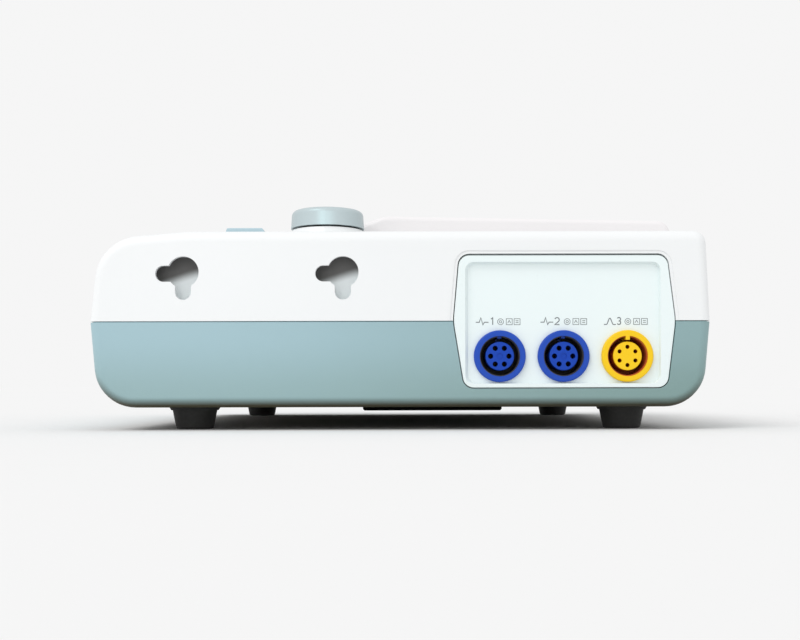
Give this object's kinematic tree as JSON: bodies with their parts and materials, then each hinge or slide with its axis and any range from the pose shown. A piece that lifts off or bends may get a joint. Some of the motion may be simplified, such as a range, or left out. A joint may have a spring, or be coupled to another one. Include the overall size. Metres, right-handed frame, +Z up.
{
  "type": "cardiotocograph",
  "caption": "Desktop fetal heart monitor: two-part case, sensor sockets in the side, rotary knob and keys, fold-down display, strip-chart recorder under a hinged door.",
  "frame": {"origin": "on the table, under the middle of the case", "axes": "+Z up, -Y the front, +X the side with the sensor sockets"},
  "size_m": [0.296, 0.293, 0.1096],
  "materials": {
    "white_shell": "fine satin moulding",
    "grey_blue_shell": "fine satin moulding",
    "key_plastic": "satin",
    "blue_plastic": "semi-gloss",
    "yellow_plastic": "semi-gloss",
    "dark_plastic": "satin",
    "black_rubber": "matt",
    "platen_rubber": "ground matt",
    "steel": "zinc plated",
    "aluminium": "bead blasted",
    "brass": "bright",
    "circuit_board": "solder mask",
    "lcd": "dark",
    "cover_glass": "clear",
    "lens": "frosted",
    "gear_plastic": "natural",
    "paper": "thermal coated",
    "battery_wrap": "shrink wrap",
    "ceramic": "glazed strip"
  },
  "bodies": {
    "case": {"top_shell": "white_shell", "bottom_shell": "grey_blue_shell", "socket_panel": "white_shell", "socket_ring_1": "blue_plastic", "socket_ring_2": "blue_plastic", "socket_ring_3": "yellow_plastic", "socket_core_1": "blue_plastic", "socket_core_2": "blue_plastic", "socket_core_3": "yellow_plastic", "socket_liners": "dark_plastic", "socket_contacts": "brass", "socket_nuts": "aluminium", "feet": "black_rubber", "foot_screws": "steel", "case_screws": "steel", "battery_cover": "dark_plastic", "battery_cover_screws": "steel", "battery_pack": "battery_wrap", "encoder_body": "steel", "key_board": "circuit_board", "indicator_lenses": "lens", "display_hinge_pins": "steel", "door_hinge_pins": "steel", "idler_pin": "steel", "stepper_motor": "steel", "print_head": "ceramic", "head_heat_sink": "aluminium", "recorder_plates": "steel", "paper_tray": "dark_plastic", "paper_pack": "paper", "loudspeaker": "dark_plastic", "rear_plate": "aluminium", "mains_inlet": "dark_plastic", "inlet_blades": "brass", "switch_frame": "dark_plastic", "earth_post": "brass", "serial_port": "steel", "network_port": "steel", "main_board": "circuit_board", "power_board": "circuit_board"},
    "recorder_door": {"recorder_door": "white_shell", "tear_bar": "steel"},
    "platen": {"platen_shaft": "steel", "platen_sleeve": "platen_rubber", "platen_gear": "gear_plastic"},
    "idler": {"idler_gear": "gear_plastic"},
    "motor_rotor": {"motor_pinion": "brass", "motor_shaft": "steel"},
    "display": {"display_back": "white_shell", "display_bezel": "white_shell", "display_glass": "cover_glass", "lcd_module": "lcd"},
    "encoder_shaft": {"encoder_shaft": "steel"},
    "knob": {"knob": "key_plastic"},
    "key_1": {"key_1": "key_plastic"},
    "key_2": {"key_2": "key_plastic"},
    "key_3": {"key_3": "key_plastic"},
    "key_4": {"key_4": "key_plastic"},
    "release_button": {"release_button": "key_plastic"},
    "mains_rocker": {"mains_rocker": "dark_plastic"}
  },
  "joints": [
    {"name": "recorder_door_hinge", "type": "hinge", "parent": "case", "child": "recorder_door", "pos_m": [0, -0.14119, 0.062], "axis": [1, 0, 0], "range_deg": [0, 75]},
    {"name": "platen_spin", "type": "hinge", "parent": "recorder_door", "child": "platen", "pos_m": [0, -0.05249, 0.0845], "axis": [1, 0, 0], "continuous": true},
    {"name": "idler_spin", "type": "hinge", "parent": "case", "child": "idler", "pos_m": [0, -0.05249, 0.0677], "axis": [1, 0, 0], "continuous": true},
    {"name": "motor_spin", "type": "hinge", "parent": "case", "child": "motor_rotor", "pos_m": [0, -0.04117, 0.05639], "axis": [1, 0, 0], "continuous": true},
    {"name": "display_tilt", "type": "hinge", "parent": "case", "child": "display", "pos_m": [0, -0.022, 0.0992], "axis": [1, 0, 0], "range_deg": [0, 80]},
    {"name": "encoder_press", "type": "slide", "parent": "case", "child": "encoder_shaft", "axis": [0, 0, -1], "range_m": [0, 0.0006], "stiffness_N_per_m": 3000, "springref_m": -0.0004},
    {"name": "knob_spin", "type": "hinge", "parent": "encoder_shaft", "child": "knob", "pos_m": [0.114, -0.0364, 0], "axis": [0, 0, 1], "continuous": true},
    {"name": "mains_switch_tip", "type": "hinge", "parent": "case", "child": "mains_rocker", "pos_m": [-0.062, 0.133, 0.0335], "axis": [1, 0, 0], "range_deg": [0, 16]},
    {"name": "release_press", "type": "slide", "parent": "case", "child": "release_button", "axis": [0, 0, -1], "range_m": [0, 0.002], "stiffness_N_per_m": 500, "springref_m": -0.001},
    {"name": "key_1_press", "type": "slide", "parent": "case", "child": "key_1", "axis": [0, 0, -1], "range_m": [0, 0.001], "stiffness_N_per_m": 500, "springref_m": -0.0006},
    {"name": "key_2_press", "type": "slide", "parent": "case", "child": "key_2", "axis": [0, 0, -1], "range_m": [0, 0.001], "stiffness_N_per_m": 500, "springref_m": -0.0006},
    {"name": "key_3_press", "type": "slide", "parent": "case", "child": "key_3", "axis": [0, 0, -1], "range_m": [0, 0.001], "stiffness_N_per_m": 500, "springref_m": -0.0006},
    {"name": "key_4_press", "type": "slide", "parent": "case", "child": "key_4", "axis": [0, 0, -1], "range_m": [0, 0.001], "stiffness_N_per_m": 500, "springref_m": -0.0006}
  ],
  "couplings": [
    {"joint": "idler_spin", "follows": "platen_spin", "ratio": -0.5},
    {"joint": "motor_spin", "follows": "platen_spin", "ratio": 1.1667}
  ]
}
